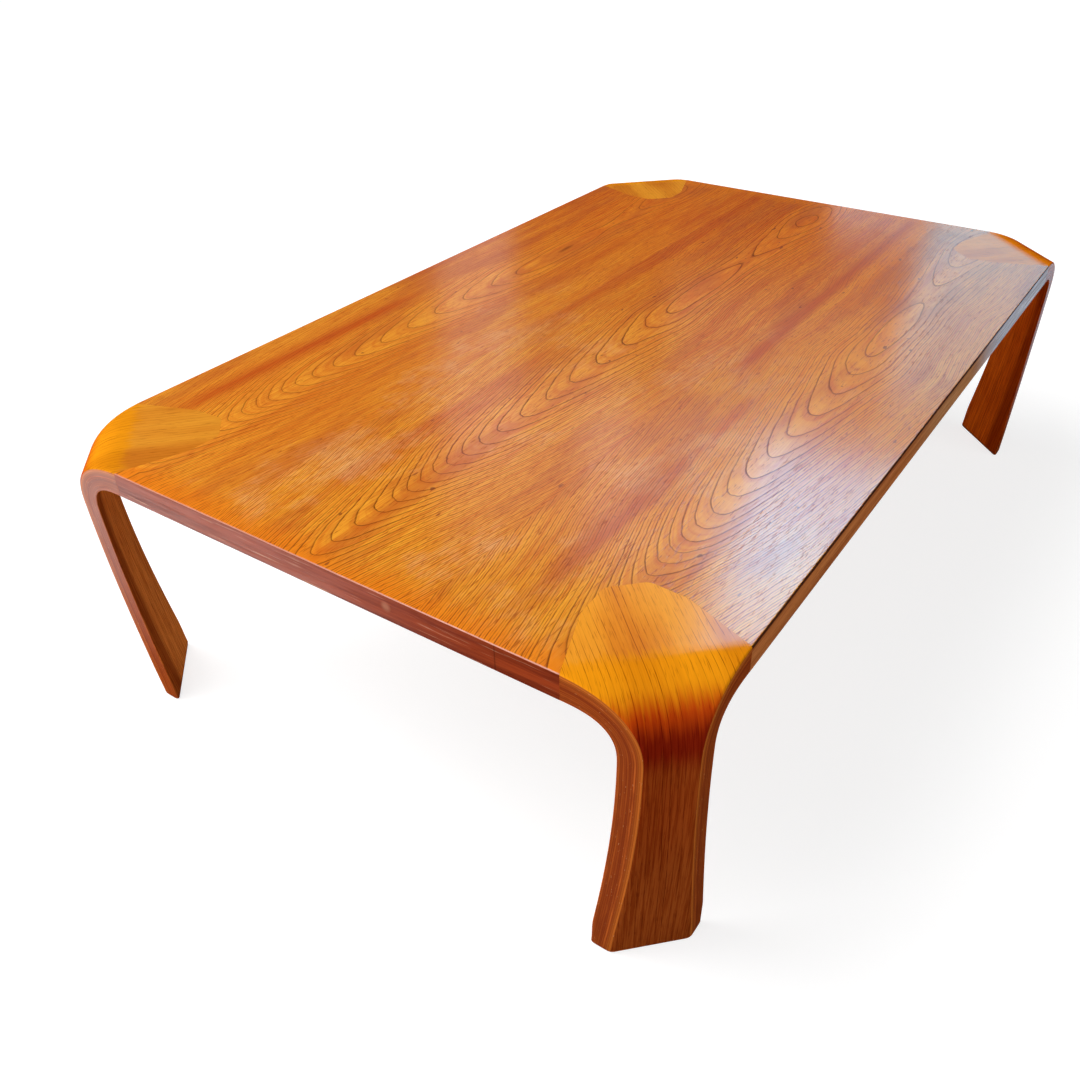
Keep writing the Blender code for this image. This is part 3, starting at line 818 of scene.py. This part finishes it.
# A flat piece: its outline in plan, moved in by an inset at each height. Sides that lie on the table's own
# side (open) take the inset and the others keep their place: at a point between two sides with outward
# normals n1 and n2 the move d solves n1.d = -inset1 and n2.d = -inset2.
def plate(outline, openSides, heights, insets):
    step = np.roll(outline, -1, axis=0) - outline
    step = step / np.linalg.norm(step, axis=1, keepdims=True)
    normalAfter = np.stack([step[:, 1], -step[:, 0]], axis=1)
    normalBefore = np.roll(normalAfter, 1, axis=0)
    openAfter = np.asarray(openSides, dtype=float)
    openBefore = np.roll(openAfter, 1)
    cross = normalBefore[:, 0] * normalAfter[:, 1] - normalBefore[:, 1] * normalAfter[:, 0]
    safe = np.where(np.abs(cross) < 0.02, 1.0, cross)
    moveX = (openBefore * normalAfter[:, 1] - openAfter * normalBefore[:, 1]) / safe
    moveY = (openAfter * normalBefore[:, 0] - openBefore * normalAfter[:, 0]) / safe
    move = np.stack([moveX, moveY], axis=1)
    straight = (openBefore * openAfter)[:, None] * normalAfter
    move = np.where(np.abs(cross)[:, None] < 0.02, straight, move)
    insets = np.asarray(insets)[:, None, None]
    plan = outline[None] - insets * move[None]
    level = np.broadcast_to(np.asarray(heights)[:, None, None], plan.shape[:2] + (1,))
    points = np.concatenate([plan, level], axis=-1)
    return points.reshape(-1, 3), loftFaces(*plan.shape[:2])


# The way round one leg's flange, from the table's side before the corner to the side after it
def pocketPath(signs, gap):
    half = tongueHalf() + gap
    start = (tongueFoot + gap) / (1.0 + tongue["taper"])
    half[0] = (start, start)
    path = np.concatenate([half, half[::-1] * (1.0, -1.0)])
    origin, inwardAxis, acrossAxis = cornerAxes(signs)
    points = origin + path[:, :1] * inwardAxis + path[:, 1:] * acrossAxis
    return points[:, :2]


def leafOutline(place):
    gap = table["glueLine"]
    a = table["halfLength"]
    seam = table["halfWidth"] / 3 - gap
    if place == "middle":
        return np.array([(-a, -seam), (a, -seam), (a, seam), (-a, seam)]), [0, 1, 0, 1]
    names = [name for name in corners if place in name.split("_")]
    first, second = (pocketPath(corners[name], gap) for name in names)
    side = -1 if place == "front" else 1
    seamLine = side * (table["halfWidth"] / 3 + gap)
    ends = np.array([(-side * a, seamLine), (side * a, seamLine)])
    openSides = np.zeros(len(first) + len(second) + 2)
    openSides[[len(first) - 1, len(first) + len(second) - 1, -1]] = 1
    return np.concatenate([first, second, ends]), openSides


def topLevels():
    depths = (1.0 - np.cos(np.linspace(0.0, 0.5, 7) * math.pi)) * skin
    depths = np.concatenate([[0.0], depths])
    insets = arrisInset(depths, table["topArris"])
    insets[0] += table["flatRing"]
    return table["height"] - depths, insets


def underLevels():
    depths = np.linspace(0.0, skin, 6)
    depths = np.concatenate([[0.0], depths])
    insets = arrisInset(depths, table["underArris"])
    insets[0] += table["flatRing"]
    return underside + depths, insets


for place, leaf in leaves.items():
    outline, openSides = leafOutline(place)
    points, faces = plate(outline, openSides, *topLevels())
    veneer = crownVeneer(f"crownVeneer{place.capitalize()}", leaf)
    addPiece(f"topLeaf{place.capitalize()}", points, faces, veneer, f"top_veneer_{place}")
    points, faces = plate(outline, openSides, *underLevels())
    backing = plainWood(f"backing{place.capitalize()}", plainWoods["backing"], "x", leaf["seed"])
    addPiece(f"underLeaf{place.capitalize()}", points, faces, backing,
             f"underside_veneer_{place}")
print("top: 3 crown-cut leaves over 3 plain ones")

lipping = {"depth": 0.008}


# A lipping's plan has four points: the two ends of the table's side between the flanges, and the same ends
# on a line one depth further in, where the flange's side is at inward = (foot + root 2 * depth) / (1 + taper)
def lippingOutline(firstCorner, secondCorner):
    gap = table["glueLine"]
    inset = np.array([0.0, lipping["depth"]])
    inward = (tongueFoot + gap + math.sqrt(2.0) * inset) / (1.0 + tongue["taper"])
    outline = []
    for corner, side in ((firstCorner, -1.0), (secondCorner, 1.0)):
        origin, inwardAxis, acrossAxis = cornerAxes(corners[corner])
        across = side * (inward - math.sqrt(2.0) * inset)
        ends = origin + inward[:, None] * inwardAxis + across[:, None] * acrossAxis
        outline.append(ends[:, :2])
    return np.array([outline[0][0], outline[1][0], outline[1][1], outline[0][1]]), [1, 0, 0, 0]


def lippingLevels():
    low = skin + table["glueLine"]
    upper = low + (table["topArris"] - low) * np.linspace(0.0, 1.0, 5)
    lower = low + (table["underArris"] - low) * np.linspace(1.0, 0.0, 4)
    heights = np.concatenate([table["height"] - upper, underside + lower])
    insets = np.concatenate([arrisInset(upper, table["topArris"]), arrisInset(lower, table["underArris"])])
    return heights, insets


strips = {
    "gloss": (0.34, 0.46),
    "coatGloss": 0.20,
    "coat": 1.5,
    "shine": 0.0,
    "scuff": (0.700, 0.360, 0.200),
    # a dark joint line, also used for painted shade along the top of the front strip
    "gap": (0.040, 0.010, 0.005),
}
reddish = {**strips, "pale": (0.300, 0.046, 0.012), "dark": (0.140, 0.019, 0.007), "coat": 1.49}
tan = {**strips, "pale": (0.560, 0.265, 0.108), "dark": (0.360, 0.140, 0.056)}
lippings = {
    "front": {"ends": ("front_left", "front_right"), "along": "x",
              "look": {**tan, "polish": (0.10, 0.26, 0.9), "under": (0.110, 0.060, 0.050),
                       # the front strip takes painted shade along its top
                       "warm": (0.02, -0.16, (1.0, 0.72, 0.50)), "grime": 0.0027}},
    "right": {"ends": ("front_right", "back_right"), "along": "y",
              "look": {**tan, "polish": (0.4, -0.4, 0.5)}},
    "back": {"ends": ("back_right", "back_left"), "along": "x",
             "look": {**tan, "polish": (0.6, -0.6, 0.5)}},
    "left": {"ends": ("back_left", "front_left"), "along": "y",
             "look": {**reddish, "polish": (-0.24, 0.10, 1.0), "joint": -0.207,
                      "spot": (-0.092, 0.012, 0.007)}},
}
for number, (side, strip) in enumerate(lippings.items()):
    points, faces = plate(*lippingOutline(*strip["ends"]), *lippingLevels())
    material = plainWood(f"lipping{side.capitalize()}", strip["look"], strip["along"], 1.7 + number * 3.0)
    addPiece(f"edge{side.capitalize()}", points, faces, material, f"lipping_{side}")
print("lippings: 4")

# the core board and the loose tongues keep their own solids, which the other pieces hide
coreMaterial = plainWood("corePlywood", plainWoods["plywood"], "x", 5.5)
tongueMaterial = plainWood("tongueWood", plainWoods["tongue"], "x", 8.5)
for node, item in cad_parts.items():
    if node == "top_core" or node.startswith("spline_"):
        item.data.materials.clear()
        item.data.materials.append(coreMaterial if node == "top_core" else tongueMaterial)
print("hidden core and tongues dressed")


# Floor, light and camera

stageLook = {
    "radius": 30.0,
    "floorColour": (0.36, 0.36, 0.36),
    "floorGlow": (0.79, 0.99),  # under the table and far off: what the camera and gloss see besides the lamps
    "floorWindowLight": (0.62, 0.78, 1.0),  # a painted pool of bluish window light on the floor on the window's side, which only gloss sees, from and to X and Y
    "skyX": (0.4, 1.0),
    "skyY": (-0.1, -0.45),
    "glowReach": (0.9, 2.6),
    "backdrop": 0.99,
    "worldColour": (0.96, 0.98, 1.0),
    "worldStrength": 0.05,
}


# A disc for the floor, or half a globe for the backdrop: rings at an angle from straight up, turned all round
def stageSurface(name, ringRadius, ringHeight):
    around = np.linspace(0.0, 2.0 * math.pi, 97)[None, :-1]
    radius = np.asarray(ringRadius)[:, None]
    height = np.asarray(ringHeight)[:, None] + 0.0 * around
    points = np.stack([radius * np.cos(around), radius * np.sin(around), height], axis=-1)
    mesh = bpy.data.meshes.new(name)
    mesh.from_pydata(points.reshape(-1, 3), [], loftFaces(*points.shape[:2])[:-1])
    item = bpy.data.objects.new(name, mesh)
    bpy.context.scene.collection.objects.link(item)
    material, tree, shader = startMaterial(name)
    shader.inputs["Roughness"].default_value = 1.0
    shader.inputs["Specular IOR Level"].default_value = 0.0
    shader.inputs["Emission Color"].default_value = (1.0, 1.0, 1.0, 1.0)
    mesh.materials.append(material)
    return item, tree, shader


def paleFloor():
    radius = stageLook["radius"]
    item, tree, shader = stageSurface("floor", [0.01, 1.0, 3.0, radius], [0.0, 0.0, 0.0, 0.0])
    shader.inputs["Base Color"].default_value = (*stageLook["floorColour"], 1.0)
    rays = tree.nodes.new("ShaderNodeLightPath")
    seen = calc(tree, "MAXIMUM", rays.outputs["Is Camera Ray"], rays.outputs["Is Glossy Ray"])
    seen = calc(tree, "MAXIMUM", seen, rays.outputs["Is Transmission Ray"])
    reach = tree.nodes.new("ShaderNodeVectorMath")
    reach.operation = "LENGTH"
    tree.links.new(objectPlace(tree), reach.inputs[0])
    glow = span(tree, reach.outputs["Value"], *stageLook["glowReach"], *stageLook["floorGlow"])
    x, y, z = split(tree, objectPlace(tree))
    # painted light: a pool of bluish window light on the floor, seen only in reflections
    skyward = times(tree, fade(tree, x, *stageLook["skyX"]), fade(tree, y, *stageLook["skyY"]))
    skyward = times(tree, skyward, calc(tree, "SUBTRACT", 1.0, rays.outputs["Is Camera Ray"]))
    mirrored = tint(tree, skyward, (1.0, 1.0, 1.0), stageLook["floorWindowLight"])
    tree.links.new(mirrored, shader.inputs["Emission Color"])
    tree.links.new(times(tree, seen, glow), shader.inputs["Emission Strength"])


# Only the camera sees the backdrop, so it puts no light on the wood
def paleBackdrop():
    lift = np.linspace(0.001, 0.5, 17) * math.pi
    radius = stageLook["radius"]
    item, tree, shader = stageSurface("backdrop", np.sin(lift) * radius, np.cos(lift) * radius)
    shader.inputs["Base Color"].default_value = (0.0, 0.0, 0.0, 1.0)
    shader.inputs["Emission Strength"].default_value = stageLook["backdrop"]
    item.visible_diffuse = False
    item.visible_glossy = False
    item.visible_transmission = False
    item.visible_shadow = False


# Panels shine towards the table's middle. Strength is the brightness that a mirror would show, 1 being white.
# Lamps light the wood and aren't mirrored in it, and windows are only mirrored.
lamps = {
    "overhead": {"azimuth": 118.0, "elevation": 52.0, "distance": 3.6, "size": (3.3, 3.3), "strength": 6.0,
                 "colour": (1.0, 1.0, 1.0)},
    "fillLeft": {"azimuth": 180.0, "elevation": 10.0, "distance": 2.2, "size": (1.6, 1.2), "strength": 2.0,
                 "colour": (0.97, 0.98, 1.0)},
    "fillFront": {"azimuth": 268.0, "elevation": 8.0, "distance": 3.0, "size": (3.0, 1.0), "strength": 3.5,
                  "colour": (1.0, 1.0, 1.0)},
    "fillLow": {"azimuth": 150.0, "elevation": -4.0, "distance": 2.2, "size": (2.0, 0.3), "strength": 6.5,
                "colour": (1.0, 1.0, 1.0)},
}
windows = {
    "windowHigh": {"azimuth": 6.0, "elevation": 38.3, "distance": 20.0, "size": (9.3, 5.5), "strength": 9.8,
                   "colour": (0.12, 0.60, 1.0)},
    "windowLow": {"azimuth": 0.5, "elevation": 17.7, "distance": 20.0, "size": (8.7, 6.9), "strength": 2.3,
                  "colour": (0.06, 0.74, 1.0)},
    "windowPeak": {"azimuth": 20.5, "elevation": 37.2, "distance": 20.0, "size": (2.2, 2.4), "strength": 2.8,
                   "colour": (0.32, 0.83, 1.0)},
    "windowEnd": {"azimuth": 16.2, "elevation": 15.8, "distance": 20.0, "size": (1.6, 1.0), "strength": 1.9,
                  "colour": (0.40, 0.78, 1.0)},
    "windowHaze": {"azimuth": 20.0, "elevation": 25.0, "distance": 20.0, "size": (5.0, 2.8), "strength": 0.45,
                   "colour": (0.60, 0.82, 1.0)},
    "windowFar": {"azimuth": 39.8, "elevation": 22.5, "distance": 20.0, "size": (1.5, 5.6), "strength": 0.65,
                  "colour": (0.70, 0.85, 1.0)},
    "windowGlow": {"azimuth": 27.0, "elevation": 33.5, "distance": 20.0, "size": (3.6, 3.5), "strength": 1.4,
                   "colour": (0.60, 0.82, 1.0)},
    "windowLeft": {"azimuth": 147.0, "elevation": 36.0, "distance": 20.0, "size": (7.0, 7.0), "strength": 9.0,
                   "colour": (1.0, 0.95, 0.95)},
    "paleWall": {"azimuth": 36.5, "elevation": 31.5, "distance": 20.0, "size": (4.0, 3.6), "strength": 0.75,
                 "colour": (0.70, 0.85, 1.0)},
}


def addPanel(name, panel, lights):
    lamp = bpy.data.lights.new(name, "AREA")
    lamp.shape = "RECTANGLE"
    lamp.size, lamp.size_y = panel["size"]
    lamp.energy = panel["strength"] * math.pi * lamp.size * lamp.size_y
    lamp.color = panel["colour"]
    azimuth, elevation = math.radians(panel["azimuth"]), math.radians(panel["elevation"])
    away = Vector((math.cos(azimuth) * math.cos(elevation), math.sin(azimuth) * math.cos(elevation),
                   math.sin(elevation)))
    item = bpy.data.objects.new(name, lamp)
    bpy.context.scene.collection.objects.link(item)
    item.location = Vector((0.0, 0.0, table["height"])) + away * panel["distance"]
    item.rotation_euler = away.to_track_quat("Z", "Y").to_euler()
    item.visible_diffuse = lights
    item.visible_glossy = not lights
    item.visible_camera = False


def softWorld():
    world = bpy.data.worlds.new("softWorld")
    bpy.context.scene.world = world
    world.use_nodes = True
    background = world.node_tree.nodes["Background"]
    background.inputs["Color"].default_value = (*stageLook["worldColour"], 1.0)
    background.inputs["Strength"].default_value = stageLook["worldStrength"]


# The camera stands at an azimuth and elevation from a point on the floor, turned a little about its own axis.
# Pixels are those of a picture 1080 wide and high.
view = {
    "azimuth": math.radians(-55.866),
    "elevation": math.radians(34.9024),
    "roll": math.radians(-0.6571),
    "distance": 1.50747,
    "aim": (-0.0563, 0.09609, 0.0),
    "picture": 1080.0,
    "focalPixels": 1022.887,
    "middlePixels": (564.788, 536.240),
    "sensor": 36.0,
}


def addCamera():
    turn, lift, roll = view["azimuth"], view["elevation"], view["roll"]
    back = Vector((math.sin(turn) * math.cos(lift), -math.cos(turn) * math.cos(lift), math.sin(lift)))
    right = Vector((math.cos(turn), math.sin(turn), 0.0))
    up = back.cross(right)
    rolledRight = right * math.cos(roll) + up * math.sin(roll)
    rolledUp = up * math.cos(roll) - right * math.sin(roll)
    lens = bpy.data.cameras.new("camera")
    lens.sensor_width = view["sensor"]
    lens.lens = view["focalPixels"] / view["picture"] * view["sensor"]
    lens.shift_x = 0.5 - view["middlePixels"][0] / view["picture"]
    lens.shift_y = view["middlePixels"][1] / view["picture"] - 0.5
    lens.clip_end = 200.0
    camera = bpy.data.objects.new("camera", lens)
    bpy.context.scene.collection.objects.link(camera)
    turned = Matrix((rolledRight, rolledUp, back)).transposed().to_4x4()
    camera.matrix_world = Matrix.Translation(Vector(view["aim"]) + back * view["distance"]) @ turned
    bpy.context.scene.camera = camera


paleFloor()
paleBackdrop()
for panelName, panel in lamps.items():
    addPanel(panelName, panel, True)
for panelName, panel in windows.items():
    addPanel(panelName, panel, False)
softWorld()
addCamera()
bpy.context.scene.view_settings.view_transform = "Standard"
print("floor, light and camera set")
